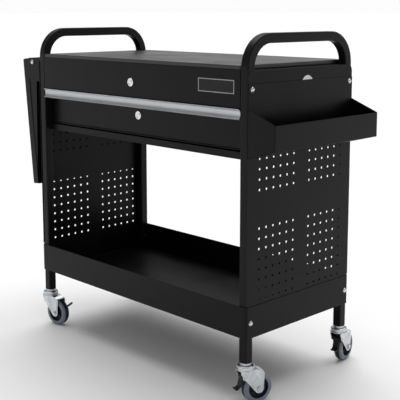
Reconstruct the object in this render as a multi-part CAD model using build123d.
from build123d import *
import math
import os

# ---- Tool cart. Millimetres, +Z up, +X toward the side bin, the drawer opens toward -Y.
# Every piece is drawn about the middle of the frame, with the floor at Z = 0. At the end the
# whole cart is moved so that the middle of the bottom of its bounding box is the origin.

# Frame: two bent square tubes, each one a pair of legs and an end handle
FRAME_W = 868.0
FRAME_D = 410.0
TUBE = 25.0
TUBE_WALL = 1.5
TUBE_EDGE_R = 2.5
HANDLE_TOP = 930.0
BEND_R = 85.0
LEG_BOTTOM = 110.0
LEG_X = FRAME_W / 2 - TUBE / 2
LEG_Y = FRAME_D / 2 - TUBE / 2
LEG_IN_X = FRAME_W / 2 - TUBE

# Sheet metal
SHEET = 1.2
GAP = 0.3
FIT = 0.5

# Cabinet between the frames
CAB_BOTTOM = 620.0
CAB_TOP = 843.0
CAB_X = LEG_IN_X - GAP
CAB_Y = FRAME_D / 2
RAIL_TOP = 638.0
RAIL_Y = -CAB_Y + 22.0
RAIL_DEPTH = 10.0
DIVIDER_Z = 750.0
BADGE_X = 327.0
BADGE_Z = 800.0
BADGE_W = 125.0
BADGE_H = 34.0

# Lid
LID_TOP = 853.0
LID_SKIRT_Z = CAB_TOP + FIT
LID_X = LEG_IN_X - FIT
HINGE_Y = CAB_Y + 4.5
HINGE_Z = LID_SKIRT_Z + 2.0
KNUCKLE_R = 4.0
HINGE_PIN_R = 2.0
RUN_FIT = 0.05
KNUCKLE_COUNT = 7
HINGE_X = 380.0
KNUCKLE_GAP = 0.4

# Drawer
DRAWER_FRONT_Y = -178.0
DRAWER_FRONT_Z0 = 642.0
DRAWER_FRONT_Z1 = 747.0
DRAWER_FRONT_X = 404.0
PAN_X = 393.0
PAN_Z0 = 646.0
PAN_Z1 = 736.0
PAN_BACK_Y = 190.0
PULL_Z0 = 722.0
PULL_Z1 = 748.0
PULL_FRONT_Y = -CAB_Y - 5.0
PULL_X = LEG_IN_X - FIT
PULL_GROOVE_R = 11.0
PULL_GROOVE_OUT = 1.5
PULL_WALL = 3.0
DRAWER_TRAVEL = 300.0

# Telescopic slides, one C inside the next
SLIDE_Z = 692.0
SLIDE_H = 45.0
SLIDE_STEP = 0.4

# Locks
LOCK_X = 0.0
LID_LOCK_Z = 790.0
DRAWER_LOCK_Z = 697.0
PLUG_R = 6.0
BARREL_R = 9.5
BARREL_LEN = 15.0
BEZEL_R = 11.5
BEZEL_H = 2.5
TAIL_R = 3.0
CAM_LEN = 30.0
CAM_HALF = 6.0
CAM_T = 2.0

# End panels, bolted to the outer faces of the legs
PANEL_X = FRAME_W / 2
PANEL_Y = 206.5
PANEL_Z0 = 235.0
PANEL_Z1 = 841.0
PANEL_NOTCH = 5.0
HOLE_R = 3.2
PITCH = 26.0
COLUMNS = 6
FIRST_COLUMN = 31.0
LOWER_ROWS = 8
LOWER_FIRST_Z = 268.0
UPPER_ROWS = 4
UPPER_FIRST_Z = 547.0
BUSH_Y = 18.0
BUSH_Z = 797.0
BUSH_R = 23.5

# Side bin on the right end
BIN_X0 = PANEL_X + SHEET + GAP
BIN_X1 = 522.0
BIN_Y = 206.0
BIN_PLATE_TOP = 809.5
BIN_FLOOR_IN = 630.0
BIN_FLOOR_OUT = 653.0
BIN_CHEEK_TOP = 750.0
BIN_FRONT_TOP = 717.0
BIN_BOLT_Z = 796.0
BOLT_R = 3.0
BOLT_HEAD_R = 7.0
BOLT_HEAD_H = 4.0

# Bottom tray, its walls pass outside the legs
TRAY_X = PANEL_X + SHEET + GAP + SHEET
TRAY_Y = PANEL_Y + GAP + SHEET
TRAY_Z0 = 174.0
TRAY_Z1 = 256.0
TRAY_R = 5.0
TRAY_BOLT_Z = 214.0

# Folding side shelf on the left end. It hangs from two pivot bolts and folds up until level
SHELF_PIVOT_X = -475.5
SHELF_PIVOT_Z = 825.5
SHELF_RISE = 58.0
SHELF_INNER = 14.0
SHELF_OUTER = 382.0
SHELF_FLANGE = 25.0
SHELF_Y = 198.0
SHELF_SHEET = 1.5
ARM_SHEET = 2.0
ARM_END = 21.0
SHELF_EAR_R = 13.0
SHELF_HANG = 96.0
BRACKET_Y0 = 200.0
BRACKET_T = 3.0
BRACKET_TOP = 842.0
BRACKET_BOTTOM = 767.0
BRACKET_OUT_X = -503.0
BRACKET_FACE_X = -(PANEL_X + SHEET + GAP)
BRACKET_FOOT = 54.0
PIVOT_R = 4.0
PIVOT_HEAD_R = 7.0
PIVOT_NUT_R = 6.5

# Swivel casters
WHEEL_R = 40.0
TYRE_W = 24.0
TYRE_IN_R = 29.0
HUB_W = 27.0
TRAIL = 32.0
AXLE_R = 4.0
ARM_X = 14.0
ARM_T = 2.5
CROWN_R = 23.0
CROWN_Z0 = 92.0
CROWN_Z1 = 104.0
STEM_R = 6.0
COLLAR_R = 15.0
BRAKE_Y = -10.0
BRAKE_Z = 73.0
BRAKE_EYE_R = 5.0
BRAKE_PIN_R = 2.0
SHOE_R = 12.6
PEDAL_HALF = 9.0
BRAKE_TRAVEL = 18.0
HOOD_Y = 47.0
HOOD_DROP = 8.0
LEVER_T = 2.0
LEVER_LEN = 57.0
LEVER_RISE = 36.0
LEVER_EYE_R = 8.0
LEVER_R = 3.5
CASTERS = {
    "front_left": (-LEG_X, -LEG_Y, -82.0),
    "front_right": (LEG_X, -LEG_Y, -19.0),
    "back_left": (-LEG_X, LEG_Y, -82.0),
    "back_right": (LEG_X, LEG_Y, 11.0),
}
PEDAL_CASTERS = ("front_right", "back_right")


def block(x0, x1, y0, y1, z0, z1):
    """A box between two corners."""
    middle = Pos((x0 + x1) / 2, (y0 + y1) / 2, (z0 + z1) / 2)
    return middle * Box(abs(x1 - x0), abs(y1 - y0), abs(z1 - z0))


def rod_x(x0, x1, y, z, r):
    """A round bar along X."""
    return Pos((x0 + x1) / 2, y, z) * Rot(0, 90, 0) * Cylinder(r, abs(x1 - x0))


def rod_y(x, y0, y1, z, r):
    """A round bar along Y."""
    return Pos(x, (y0 + y1) / 2, z) * Rot(90, 0, 0) * Cylinder(r, abs(y1 - y0))


def rod_z(x, y, z0, z1, r):
    """A round bar along Z."""
    return Pos(x, y, (z0 + z1) / 2) * Cylinder(r, abs(z1 - z0))


def prism_x(points, x0, x1):
    """A Y-Z outline carried along X."""
    face = make_face(Polyline([Vector(x0, y, z) for y, z in points], close=True))
    return extrude(face, amount=x1 - x0, dir=(1, 0, 0))


def prism_y(points, y0, y1):
    """An X-Z outline carried along Y."""
    face = make_face(Polyline([Vector(x, y0, z) for x, z in points], close=True))
    return extrude(face, amount=y1 - y0, dir=(0, 1, 0))


def polar(y, z, r, angle):
    """The point at a distance and angle from (y, z)."""
    turn = math.radians(angle)
    return (y + r * math.cos(turn), z + r * math.sin(turn))


def group(pieces):
    """Loose identical pieces as one node."""
    return Compound([solid for piece in pieces for solid in piece.solids()])


def arch(inset, width, foot):
    """The inverted U of one frame, as a bar of the given width along X."""
    high = HANDLE_TOP - inset - foot
    outer = RectangleRounded(FRAME_D - 2 * inset, 2 * high, BEND_R - inset)
    span = FRAME_D - 2 * TUBE + 2 * inset
    rise = high - TUBE + 2 * inset
    inner = RectangleRounded(span, 2 * rise, BEND_R - TUBE + inset)
    upper = Pos(0, high / 2) * Rectangle(FRAME_D, high)
    flat = (outer - inner) & upper
    return Pos(0, 0, foot) * extrude(Plane.YZ * flat, amount=width / 2, both=True)


def frame_tube(side):
    """One bent square tube: two legs and the handle over them."""
    bar = arch(0, TUBE, LEG_BOTTOM)
    long_edges = [e for e in bar.edges() if abs(abs(e.center().X) - TUBE / 2) < 0.01]
    long_edges = [e for e in long_edges if e.center().Z > LEG_BOTTOM + 1]
    bar = fillet(long_edges, TUBE_EDGE_R)
    bar -= arch(TUBE_WALL, TUBE - 2 * TUBE_WALL, LEG_BOTTOM - 1)
    tube = Pos(side * LEG_X, 0, 0) * bar
    cuts = []
    for y in (-LEG_Y, LEG_Y):
        inner_x = side * (LEG_X - TUBE)
        cuts.append(rod_x(inner_x, side * (LEG_X + TUBE), y, TRAY_BOLT_Z, BOLT_R + RUN_FIT))
        if side > 0:
            cuts.append(rod_x(LEG_X, LEG_X + TUBE, y, BIN_BOLT_Z, BOLT_R + RUN_FIT))
        else:
            for z in bracket_bolt_heights():
                cuts.append(rod_x(-LEG_X - TUBE, -LEG_X, y, z, BOLT_R + RUN_FIT))
    return tube - cuts


def bracket_bolt_heights():
    return (BRACKET_BOTTOM + 12.0, BRACKET_BOTTOM + 42.0)


def end_panel(side):
    """A perforated end sheet with a top flange turned in between the legs."""
    inside = side * PANEL_X
    outside = side * (PANEL_X + SHEET)
    plate = block(inside, outside, -PANEL_Y, PANEL_Y, PANEL_Z0, PANEL_Z1)
    corners = [e for e in plate.edges().filter_by(Axis.X) if e.center().Z > PANEL_Z1 - 1]
    plate = fillet(corners, 18)
    flange_in = side * (LEG_IN_X + GAP)
    flange_y = LEG_Y - TUBE / 2 - GAP
    plate += block(flange_in, inside, -flange_y, flange_y, PANEL_Z1 - SHEET, PANEL_Z1)
    tools = []
    for row in range(LOWER_ROWS):
        tools += hole_row(side, LOWER_FIRST_Z + row * PITCH)
    for row in range(UPPER_ROWS):
        tools += hole_row(side, UPPER_FIRST_Z + row * PITCH)
    for y in (-LEG_Y, LEG_Y):
        if side > 0:
            tools.append(rod_x(inside - side, outside + side, y, BIN_BOLT_Z, BOLT_R + RUN_FIT))
        else:
            for z in bracket_bolt_heights():
                tools.append(rod_x(inside - side, outside + side, y, z, BOLT_R + RUN_FIT))
    if side > 0:
        tools.append(rod_x(inside - side, outside + side, BUSH_Y, BUSH_Z, BUSH_R + GAP))
    for way in (-1, 1):
        edge = way * (PANEL_Y - PANEL_NOTCH)
        beyond = way * (PANEL_Y + 1)
        tools.append(block(inside - side, outside + side, edge, beyond, PANEL_Z0 - 1, TRAY_Z1 + 2))
    return plate - tools


def hole_row(side, z):
    """One row of perforations in both blocks of an end panel."""
    tools = []
    for column in range(COLUMNS):
        y = FIRST_COLUMN + column * PITCH
        for way in (-1, 1):
            tools.append(rod_x(side * (PANEL_X - 1), side * (PANEL_X + SHEET + 1), way * y, z, HOLE_R))
    return tools


def cable_bushing():
    """A snap-in plug for the round hole near the top of the right end."""
    plug = rod_x(PANEL_X - 4, PANEL_X + SHEET, BUSH_Y, BUSH_Z, BUSH_R)
    return plug + rod_x(PANEL_X - 5, PANEL_X - GAP, BUSH_Y, BUSH_Z, BUSH_R + 4)


def cabinet_wall(side):
    """One side sheet of the cabinet, stopping behind the drawer pull."""
    x0 = side * (CAB_X - SHEET)
    return block(x0, side * CAB_X, RAIL_Y, CAB_Y - SHEET, CAB_BOTTOM, CAB_TOP)


def cabinet_front():
    """The upper front sheet, flush with the legs, with its lock hole."""
    plate = block(-CAB_X, CAB_X, -CAB_Y, -CAB_Y + SHEET, DIVIDER_Z, CAB_TOP)
    return plate - rod_y(LOCK_X, -CAB_Y - 1, -CAB_Y + SHEET + 1, LID_LOCK_Z, BARREL_R + RUN_FIT)


def cabinet_back():
    return block(-CAB_X, CAB_X, CAB_Y - SHEET, CAB_Y, CAB_BOTTOM, CAB_TOP)


def cabinet_divider():
    """The floor of the top compartment."""
    inner_x = CAB_X - SHEET
    sheet = block(-inner_x, inner_x, RAIL_Y, CAB_Y - SHEET, DIVIDER_Z, DIVIDER_Z + SHEET)
    return sheet + block(-CAB_X, CAB_X, -CAB_Y + SHEET, RAIL_Y, DIVIDER_Z, DIVIDER_Z + SHEET)


def cabinet_corner(side):
    """A narrow side sheet beside the upper front, between the leg and the compartment."""
    x0 = side * (CAB_X - SHEET)
    return block(x0, side * CAB_X, -CAB_Y + SHEET, RAIL_Y, DIVIDER_Z + SHEET, CAB_TOP)


def cabinet_bottom():
    inner_x = CAB_X - SHEET
    low = CAB_BOTTOM
    return block(-inner_x, inner_x, RAIL_Y + SHEET, CAB_Y - SHEET, low, low + SHEET)


def cabinet_rail():
    """The channel across the front under the drawer."""
    inner_x = CAB_X - SHEET
    face = block(-inner_x, inner_x, RAIL_Y, RAIL_Y + SHEET, CAB_BOTTOM, RAIL_TOP)
    top = block(-inner_x, inner_x, RAIL_Y, RAIL_Y + RAIL_DEPTH, RAIL_TOP - SHEET, RAIL_TOP)
    return face + top


def badge_frame():
    """A blank outlined plate at the right of the upper front."""
    x0 = BADGE_X - BADGE_W / 2
    x1 = BADGE_X + BADGE_W / 2
    z0 = BADGE_Z - BADGE_H / 2
    z1 = BADGE_Z + BADGE_H / 2
    plate = block(x0, x1, -CAB_Y - 1.2, -CAB_Y, z0, z1)
    return plate - block(x0 + 3, x1 - 3, -CAB_Y - 1.3, -CAB_Y - 0.6, z0 + 3, z1 - 3)


def lid():
    """The top sheet with a turned-down rim."""
    back = CAB_Y
    cover = block(-LID_X, LID_X, -CAB_Y, back, LID_SKIRT_Z, LID_TOP)
    x = LID_X - SHEET
    return cover - block(-x, x, -CAB_Y + SHEET, back - SHEET, LID_SKIRT_Z - 1, LID_TOP - SHEET)


def knuckle_spans(first):
    """X spans of every second knuckle along the hinge."""
    pitch = 2 * HINGE_X / KNUCKLE_COUNT
    spans = []
    for index in range(first, KNUCKLE_COUNT, 2):
        x0 = -HINGE_X + index * pitch + KNUCKLE_GAP / 2
        spans.append((x0, x0 + pitch - KNUCKLE_GAP))
    return spans


def hinge_half(first, leaf_z0, leaf_z1):
    """One half of the long hinge: its knuckles and the strip they grow from."""
    halves = []
    for x0, x1 in knuckle_spans(first):
        half = rod_x(x0, x1, HINGE_Y, HINGE_Z, KNUCKLE_R)
        half += block(x0, x1, CAB_Y, CAB_Y + SHEET, leaf_z0, leaf_z1)
        halves.append(half - rod_x(x0 - 1, x1 + 1, HINGE_Y, HINGE_Z, HINGE_PIN_R + RUN_FIT))
    return halves


def hinge_fixed():
    """The fixed half, a strip on the back of the cabinet."""
    strip = block(-HINGE_X, HINGE_X, CAB_Y, CAB_Y + SHEET, CAB_TOP - 22, CAB_TOP - 4)
    return group([strip + hinge_half(0, CAB_TOP - 6, HINGE_Z)])


def hinge_lid():
    """The moving half, on the back rim of the lid."""
    return group(hinge_half(1, HINGE_Z, LID_TOP - 1))


def hinge_pin():
    return rod_x(-HINGE_X - 3, HINGE_X + 3, HINGE_Y, HINGE_Z, HINGE_PIN_R)


def lock_body(face_y, z):
    """The chrome barrel of a cam lock, with a round bezel on the sheet."""
    body = rod_y(LOCK_X, face_y - BEZEL_H, face_y, z, BEZEL_R)
    body += rod_y(LOCK_X, face_y, face_y + BARREL_LEN, z, BARREL_R)
    return body - rod_y(LOCK_X, face_y - 3, face_y + BARREL_LEN + 1, z, PLUG_R + RUN_FIT)


def lock_plug(face_y, z):
    """The turning plug of a lock, with its key slot and the tail that carries the cam."""
    plug = rod_y(LOCK_X, face_y - 3, face_y + BARREL_LEN + FIT, z, PLUG_R)
    plug += rod_y(LOCK_X, face_y + BARREL_LEN + FIT, face_y + BARREL_LEN + 5, z, TAIL_R)
    return plug - block(LOCK_X - 0.7, LOCK_X + 0.7, face_y - 4, face_y, z - 4, z + 4)


def lock_cam(face_y, z, way):
    """The tongue behind the lock, pointing along X when unlocked."""
    y0 = face_y + BARREL_LEN + 1
    y1 = y0 + CAM_T
    cam = block(LOCK_X, LOCK_X + way * CAM_LEN, y0, y1, z - CAM_HALF, z + CAM_HALF)
    cam += rod_y(LOCK_X, y0, y1, z, CAM_HALF + 2)
    return cam - rod_y(LOCK_X, y0 - 1, y1 + 1, z, TAIL_R)


def drawer_front():
    """The recessed face of the drawer, with a lip turned in along its bottom."""
    y = DRAWER_FRONT_Y
    x = DRAWER_FRONT_X
    plate = block(-x, x, y, y + SHEET, DRAWER_FRONT_Z0, DRAWER_FRONT_Z1)
    plate += block(-x, x, y - 4, y, DRAWER_FRONT_Z0, DRAWER_FRONT_Z0 + SHEET)
    return plate - rod_y(LOCK_X, y - 1, y + SHEET + 1, DRAWER_LOCK_Z, BARREL_R + RUN_FIT)


def drawer_pan():
    """The drawer box behind its face."""
    y0 = DRAWER_FRONT_Y + SHEET
    box = block(-PAN_X, PAN_X, y0, PAN_BACK_Y, PAN_Z0, PAN_Z1)
    x = PAN_X - SHEET
    return box - block(-x, x, y0 - 1, PAN_BACK_Y - SHEET, PAN_Z0 + SHEET, PAN_Z1 + 1)


def drawer_pull():
    """The aluminium pull rail across the whole drawer, hollowed for the fingers."""
    y1 = DRAWER_FRONT_Y
    rail = block(-PULL_X, PULL_X, PULL_FRONT_Y, y1, PULL_Z0, PULL_Z1)
    middle_z = (PULL_Z0 + PULL_Z1) / 2
    rail -= rod_x(-PULL_X - 1, PULL_X + 1, PULL_FRONT_Y - PULL_GROOVE_OUT, middle_z, PULL_GROOVE_R)
    core = (y1 - 5 * PULL_WALL, y1 - PULL_WALL)
    rail -= block(-PULL_X - 1, PULL_X + 1, *core, PULL_Z0 + PULL_WALL, PULL_Z1 - PULL_WALL)
    for way in (-1, 1):
        edge = way * DRAWER_FRONT_X
        rail -= block(edge, way * (PULL_X + 1), RAIL_Y - 2, y1 + 1, PULL_Z0 - 1, PULL_Z1 + 1)
    return rail


def slide_channel(side, web_x, lip_x, half, y0, y1):
    """A C channel with its web at web_x and its lips reaching to lip_x."""
    inner = 1 if lip_x > web_x else -1
    web = block(side * web_x, side * (web_x + inner * SHEET), y0, y1, SLIDE_Z - half, SLIDE_Z + half)
    for way in (-1, 1):
        z0 = SLIDE_Z + way * half
        web += block(side * web_x, side * lip_x, y0, y1, z0 - way * SHEET, z0)
    return web


def slide_fixed():
    """The outer member on each cabinet wall."""
    web = CAB_X - SHEET
    return group([slide_channel(s, web, web - 12.0, SLIDE_H / 2, -175, 175) for s in (-1, 1)])


def slide_middle():
    """The member between, nested in the outer one."""
    web = CAB_X - 2 * SHEET - SLIDE_STEP
    half = SLIDE_H / 2 - SHEET - SLIDE_STEP
    return group([slide_channel(s, web, web - 10.0, half, -175, 175) for s in (-1, 1)])


def slide_inner():
    """The member on each side of the drawer."""
    half = SLIDE_H / 2 - 2 * (SHEET + SLIDE_STEP)
    web = PAN_X
    return group([slide_channel(s, web, web + 9.5, half, -175, 175) for s in (-1, 1)])


def side_bin():
    """The sheet bin on the right end, with a tall back plate and sloping cheeks."""
    x0 = BIN_X0
    outline = [(x0, BIN_FLOOR_IN), (BIN_X1, BIN_FLOOR_OUT), (BIN_X1, BIN_FRONT_TOP), (x0, BIN_CHEEK_TOP)]
    body = prism_y(outline, -BIN_Y, BIN_Y)
    slope = (BIN_FLOOR_OUT - BIN_FLOOR_IN) / (BIN_X1 - x0)
    lift = SHEET * math.sqrt(1 + slope * slope)
    room = [
        (x0 + SHEET, BIN_FLOOR_IN + lift + slope * SHEET),
        (BIN_X1 - SHEET, BIN_FLOOR_OUT + lift - slope * SHEET),
        (BIN_X1 - SHEET, BIN_CHEEK_TOP + 20),
        (x0 + SHEET, BIN_CHEEK_TOP + 20),
    ]
    body -= prism_y(room, -BIN_Y + SHEET, BIN_Y - SHEET)
    body += block(x0, x0 + SHEET, -BIN_Y, BIN_Y, BIN_CHEEK_TOP - 5, BIN_PLATE_TOP)
    cuts = [rod_x(x0 - 1, x0 + SHEET + 1, y, BIN_BOLT_Z, BOLT_R + RUN_FIT) for y in (-LEG_Y, LEG_Y)]
    return body - cuts


def dome_bolt(x, way, y, z, length):
    """A dome-head bolt along X: head on the outside at x, shank running inward."""
    head = rod_x(x, x + way * BOLT_HEAD_H, y, z, BOLT_HEAD_R)
    rim = [e for e in head.edges() if abs(e.center().X - (x + way * BOLT_HEAD_H)) < 0.01]
    head = fillet(rim, BOLT_HEAD_H - 0.8)
    return head + rod_x(x, x - way * length, y, z, BOLT_R)


def bin_bolts():
    x = BIN_X0 + SHEET
    return group([dome_bolt(x, 1, y, BIN_BOLT_Z, 12) for y in (-LEG_Y, LEG_Y)])


def tray_bolts():
    """Bolts through the tray ends and the legs."""
    bolts = []
    for way in (-1, 1):
        for y in (-LEG_Y, LEG_Y):
            bolts.append(dome_bolt(way * TRAY_X, way, y, TRAY_BOLT_Z, TUBE + 12))
    return group(bolts)


def tray_nuts():
    """Hexagon nuts on the inner faces of the legs."""
    nuts = []
    for way in (-1, 1):
        for y in (-LEG_Y, LEG_Y):
            x0 = way * LEG_IN_X
            hexagon = Plane(origin=(x0, y, TRAY_BOLT_Z), z_dir=(-way, 0, 0)) * RegularPolygon(6.5, 6)
            nut = extrude(hexagon, amount=5)
            nuts.append(nut - rod_x(x0 + way, x0 - way * 6, y, TRAY_BOLT_Z, BOLT_R))
    return group(nuts)


def tray():
    """The deep bottom pan, notched at its corners for the legs."""
    pan = block(-TRAY_X, TRAY_X, -TRAY_Y, TRAY_Y, TRAY_Z0, TRAY_Z1)
    pan = fillet(pan.edges().filter_by(Axis.Z), TRAY_R)
    x = TRAY_X - SHEET
    y = TRAY_Y - SHEET
    room = block(-x, x, -y, y, TRAY_Z0 + SHEET, TRAY_Z1 + 1)
    pan -= fillet(room.edges().filter_by(Axis.Z), TRAY_R - SHEET)
    cuts = []
    for way in (-1, 1):
        for y in (-LEG_Y, LEG_Y):
            half = TUBE / 2 + GAP
            leg_x = way * LEG_X
            cuts.append(block(leg_x - half, leg_x + half, y - half, y + half, TRAY_Z0 - 1, TRAY_Z0 + 3))
            cuts.append(rod_x(way * (TRAY_X - 3), way * (TRAY_X + 1), y, TRAY_BOLT_Z, BOLT_R + RUN_FIT))
    return pan - cuts


def turn_shelf(shape):
    """Swings a shelf piece from its raised place down to where it hangs."""
    pivot = Pos(SHELF_PIVOT_X, 0, SHELF_PIVOT_Z)
    return pivot * Rot(0, -SHELF_HANG, 0) * pivot.inverse() * shape


def side_shelf():
    """The folding shelf: a flanged pan with a tapering arm inside each side flange."""
    px = SHELF_PIVOT_X
    pz = SHELF_PIVOT_Z
    t = SHELF_SHEET
    top = pz + SHELF_RISE
    x0 = px - SHELF_OUTER
    x1 = px + SHELF_INNER
    pan = block(x0, x1, -SHELF_Y, SHELF_Y, top - SHELF_FLANGE, top)
    pan -= block(x0 + t, x1 - t, -SHELF_Y + t, SHELF_Y - t, top - SHELF_FLANGE - 1, top - t)
    outline = [
        (x0 + t, top - t),
        (x0 + t, top - ARM_END),
        (px - SHELF_EAR_R, pz - SHELF_EAR_R),
        (x1 - t, pz - SHELF_EAR_R),
        (x1 - t, top - t),
    ]
    for way in (-1, 1):
        outer_y = way * (SHELF_Y - t)
        inner_y = way * (SHELF_Y - t - ARM_SHEET)
        pan += prism_y(outline, min(inner_y, outer_y), max(inner_y, outer_y))
    pan -= rod_y(px, -SHELF_Y - 1, SHELF_Y + 1, pz, PIVOT_R + RUN_FIT)
    return turn_shelf(pan)


def shelf_bracket(way):
    """One plate standing out from a left leg, with a foot along the leg."""
    y0 = way * BRACKET_Y0
    y1 = way * (BRACKET_Y0 + BRACKET_T)
    face = BRACKET_FACE_X
    outline = [
        (face, BRACKET_BOTTOM),
        (BRACKET_OUT_X + 14, BRACKET_BOTTOM),
        (BRACKET_OUT_X, BRACKET_BOTTOM + 14),
        (BRACKET_OUT_X, BRACKET_TOP - 10),
        (BRACKET_OUT_X + 10, BRACKET_TOP - 4),
        (face, BRACKET_TOP),
    ]
    plate = prism_y(outline, y0, y1)
    foot_y = way * (LEG_Y - TUBE / 2)
    plate += block(face - BRACKET_T, face, foot_y, y1, BRACKET_BOTTOM, BRACKET_BOTTOM + BRACKET_FOOT)
    for z in bracket_bolt_heights():
        plate -= rod_x(face - BRACKET_T - 1, face + 1, way * LEG_Y, z, BOLT_R + RUN_FIT)
    return plate - rod_y(SHELF_PIVOT_X, way * 190, way * 210, SHELF_PIVOT_Z, PIVOT_R)


def shelf_brackets():
    return group([shelf_bracket(way) for way in (-1, 1)])


def bracket_bolts():
    bolts = []
    for way in (-1, 1):
        for z in bracket_bolt_heights():
            bolts.append(dome_bolt(BRACKET_FACE_X - BRACKET_T, -1, way * LEG_Y, z, 14))
    return group(bolts)


def shelf_pivots():
    """The pivot bolts, fixed in the brackets, that the shelf turns on."""
    pivots = []
    for way in (-1, 1):
        head_y = way * (BRACKET_Y0 + BRACKET_T)
        nut_y = way * (SHELF_Y - SHELF_SHEET - ARM_SHEET - GAP)
        pin = rod_y(SHELF_PIVOT_X, nut_y - way * 6, head_y, SHELF_PIVOT_Z, PIVOT_R)
        pin += rod_y(SHELF_PIVOT_X, head_y, head_y + way * 4, SHELF_PIVOT_Z, PIVOT_HEAD_R)
        pin += rod_y(SHELF_PIVOT_X, nut_y - way * 6, nut_y, SHELF_PIVOT_Z, PIVOT_NUT_R)
        pivots.append(pin)
    return group(pivots)


def leg_insert(x, y):
    """A plastic plug in the bottom of a leg that holds a caster stem."""
    half = TUBE / 2 - TUBE_WALL - 0.1
    plug = block(x - half, x + half, y - half, y + half, LEG_BOTTOM, LEG_BOTTOM + 28)
    return plug - rod_z(x, y, LEG_BOTTOM - 1, LEG_BOTTOM + 30, STEM_R)


def caster_stem(x, y):
    """The fixed stem: it fills the insert, carries a collar and is riveted under the crown."""
    stem = rod_z(x, y, CROWN_Z0 - 4, LEG_BOTTOM + 28, STEM_R)
    stem += rod_z(x, y, CROWN_Z1 + GAP, LEG_BOTTOM, COLLAR_R)
    return stem + rod_z(x, y, CROWN_Z0 - 4, CROWN_Z0 - GAP, 9.0)


def place_caster(shape, spot):
    """Turns a caster piece to its rest heading and stands it under its leg."""
    x, y, heading = spot
    return Pos(x, y, 0) * Rot(0, 0, heading) * shape


def fork(pedal):
    """The pressed fork: a round crown, a hood over the wheel and two arms down to the axle."""
    out = ARM_X + ARM_T
    crown = rod_z(0, 0, CROWN_Z0, CROWN_Z1, CROWN_R)
    rim = [e for e in crown.edges() if e.center().Z > CROWN_Z1 - 0.1]
    crown = fillet(rim, 4)
    top = CROWN_Z0 + 0.5
    hood = top - HOOD_DROP
    front = [(BRAKE_Y + 2, BRAKE_Z + 4)]
    if pedal:
        front = [
            (BRAKE_Y - BRAKE_EYE_R, BRAKE_Z + 4),
            (BRAKE_Y - BRAKE_EYE_R, BRAKE_Z - 2),
            (BRAKE_Y, BRAKE_Z - 6),
        ]
    side = [
        (-CROWN_R + 3, top),
        (-CROWN_R + 3, top - HOOD_DROP),
        *front,
        (TRAIL - 12, WHEEL_R - 6),
        (TRAIL - 5, WHEEL_R - 12),
        (TRAIL + 5, WHEEL_R - 12),
        (TRAIL + 12, WHEEL_R - 6),
        (TRAIL + 13, WHEEL_R + 6),
        (HOOD_Y, hood - 6),
        (HOOD_Y - 2, hood),
        (CROWN_R, top),
    ]
    inside = [
        (-CROWN_R, top - ARM_T),
        (-CROWN_R, 0),
        (HOOD_Y + 10, 0),
        (HOOD_Y + 10, hood - 16),
        (HOOD_Y - 4, hood - ARM_T),
        (CROWN_R - 1, top - ARM_T),
    ]
    yoke = prism_x(side, -out, out) - prism_x(inside, -ARM_X, ARM_X)
    shape = crown + yoke
    shape -= rod_z(0, 0, CROWN_Z0 - 10, CROWN_Z1 + 1, STEM_R + RUN_FIT)
    shape -= rod_z(0, 0, CROWN_Z0 - 8, CROWN_Z0, 9.5)
    shape -= rod_x(-out - 1, out + 1, TRAIL, WHEEL_R, AXLE_R + RUN_FIT)
    if pedal:
        shape += rod_x(-out - 1.5, out + 1.5, BRAKE_Y, BRAKE_Z, BRAKE_PIN_R)
    return shape


def axle(pedal):
    """The wheel bolt and its nut; on a lever caster the nut stands off by the lever."""
    out = ARM_X + ARM_T
    nut_x = out if pedal else out + LEVER_T + 2 * GAP
    bolt = rod_x(-nut_x - 5, out + 4, TRAIL, WHEEL_R, AXLE_R)
    bolt += rod_x(out, out + 4, TRAIL, WHEEL_R, 7.5)
    face = Plane(origin=(-nut_x, TRAIL, WHEEL_R), z_dir=(-1, 0, 0))
    return bolt + extrude(face * RegularPolygon(7.5, 6), amount=4.5)


def tyre():
    """The rubber tread of a wheel."""
    ring = rod_x(-TYRE_W / 2, TYRE_W / 2, TRAIL, WHEEL_R, WHEEL_R)
    ring = fillet(ring.edges(), 4)
    return ring - rod_x(-TYRE_W, TYRE_W, TRAIL, WHEEL_R, TYRE_IN_R)


def hub():
    """The plastic wheel centre inside the tread."""
    rim = rod_x(-TYRE_W / 2 + 1, TYRE_W / 2 - 1, TRAIL, WHEEL_R, TYRE_IN_R)
    for way in (-1, 1):
        rim -= rod_x(way * 6, way * TYRE_W, TRAIL, WHEEL_R, TYRE_IN_R - 5)
    rim += rod_x(-HUB_W / 2, HUB_W / 2, TRAIL, WHEEL_R, 9)
    return rim - rod_x(-HUB_W, HUB_W, TRAIL, WHEEL_R, AXLE_R + RUN_FIT)


def brake_pedal():
    """The brake pedal: an eye on the fork's pin, a hanging foot plate and a shoe."""
    half = ARM_X - GAP
    y = BRAKE_Y
    z = BRAKE_Z
    plate = [
        (y - 3.5, z),
        (y - 9.5, z - 23.0),
        (y - 16.5, z - 28.0),
        (y - 21.0, z - 27.0),
        (y - 21.5, z - 30.0),
        (y - 15.5, z - 31.5),
        (y - 11.5, z - 28.0),
        (y - 6.5, z - 24.0),
        (y + 1.5, z),
    ]
    pedal = prism_x(plate, -PEDAL_HALF, PEDAL_HALF)
    pedal += rod_x(-half, half, y, z, BRAKE_EYE_R)
    shoe = [polar(y, z, 4.0, -25), polar(y, z, SHOE_R, -58)]
    shoe += [polar(y, z, SHOE_R, -68), polar(y, z, 4.0, -100)]
    pedal += prism_x(shoe, -10, 10)
    return pedal - rod_x(-half - 1, half + 1, y, z, BRAKE_PIN_R + RUN_FIT)


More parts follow.
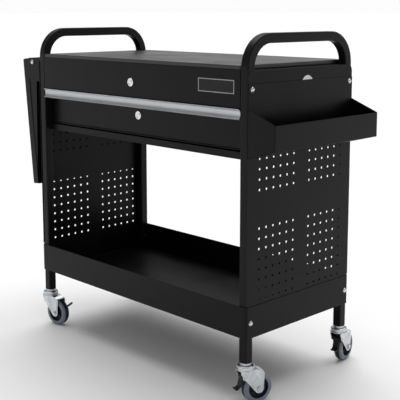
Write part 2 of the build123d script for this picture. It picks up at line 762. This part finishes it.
def brake_lever():
    """A thin side lever that turns on the axle bolt between the fork's arm and the nut."""
    x1 = -(ARM_X + ARM_T + GAP)
    x0 = x1 - LEVER_T
    lever = rod_x(x0, x1, TRAIL, WHEEL_R, LEVER_EYE_R)
    bar = block(x0, x1, 0, LEVER_LEN, -LEVER_R, LEVER_R)
    bar += rod_x(x0, x1, LEVER_LEN, 0, LEVER_R)
    lever += Pos(0, TRAIL, WHEEL_R) * Rot(LEVER_RISE, 0, 0) * bar
    return lever - rod_x(x0 - 1, x1 + 1, TRAIL, WHEEL_R, AXLE_R + RUN_FIT)


def build_nodes():
    """Every named piece, about the frame's own middle."""
    corners = [(sx * LEG_X, sy * LEG_Y) for sx in (-1, 1) for sy in (-1, 1)]
    drawer_y = DRAWER_FRONT_Y
    nodes = {
        "frame_left": frame_tube(-1),
        "frame_right": frame_tube(1),
        "panel_left": end_panel(-1),
        "panel_right": end_panel(1),
        "cable_bushing": cable_bushing(),
        "cabinet_wall_left": cabinet_wall(-1),
        "cabinet_wall_right": cabinet_wall(1),
        "cabinet_front": cabinet_front(),
        "cabinet_corners": group([cabinet_corner(-1), cabinet_corner(1)]),
        "cabinet_back": cabinet_back(),
        "cabinet_divider": cabinet_divider(),
        "cabinet_bottom": cabinet_bottom(),
        "cabinet_rail": cabinet_rail(),
        "badge_frame": badge_frame(),
        "lid": lid(),
        "hinge_fixed": hinge_fixed(),
        "hinge_lid": hinge_lid(),
        "hinge_pin": hinge_pin(),
        "lid_lock_body": lock_body(-CAB_Y, LID_LOCK_Z),
        "lid_lock_plug": lock_plug(-CAB_Y, LID_LOCK_Z),
        "lid_lock_cam": lock_cam(-CAB_Y, LID_LOCK_Z, 1),
        "drawer_front": drawer_front(),
        "drawer_pan": drawer_pan(),
        "drawer_pull": drawer_pull(),
        "drawer_lock_body": lock_body(drawer_y, DRAWER_LOCK_Z),
        "drawer_lock_plug": lock_plug(drawer_y, DRAWER_LOCK_Z),
        "drawer_lock_cam": lock_cam(drawer_y, DRAWER_LOCK_Z, 1),
        "slide_fixed": slide_fixed(),
        "slide_middle": slide_middle(),
        "slide_inner": slide_inner(),
        "side_bin": side_bin(),
        "bin_bolts": bin_bolts(),
        "tray": tray(),
        "tray_bolts": tray_bolts(),
        "tray_nuts": tray_nuts(),
        "side_shelf": side_shelf(),
        "shelf_brackets": shelf_brackets(),
        "bracket_bolts": bracket_bolts(),
        "shelf_pivots": shelf_pivots(),
        "leg_inserts": group([leg_insert(x, y) for x, y in corners]),
        "caster_stems": group([caster_stem(x, y) for x, y in corners]),
    }
    for corner, spot in CASTERS.items():
        pedal = corner in PEDAL_CASTERS
        nodes["fork_" + corner] = place_caster(fork(pedal) + axle(pedal), spot)
        nodes["tyre_" + corner] = place_caster(tyre(), spot)
        nodes["hub_" + corner] = place_caster(hub(), spot)
        nodes["brake_" + corner] = place_caster(brake_pedal() if pedal else brake_lever(), spot)
    return nodes


def origin_shift(nodes):
    """How far the cart moves so that its bounding box stands centred on the origin."""
    low = [1e9, 1e9, 1e9]
    high = [-1e9, -1e9, -1e9]
    for shape in nodes.values():
        box = shape.bounding_box()
        low = [min(a, b) for a, b in zip(low, (box.min.X, box.min.Y, box.min.Z))]
        high = [max(a, b) for a, b in zip(high, (box.max.X, box.max.Y, box.max.Z))]
    return (-(low[0] + high[0]) / 2, -(low[1] + high[1]) / 2, -low[2])


NODES = build_nodes()
SHIFT = origin_shift(NODES)
os.makedirs("parts", exist_ok=True)
for name, shape in NODES.items():
    export_step(Pos(*SHIFT) * shape, "parts/" + name + ".step")
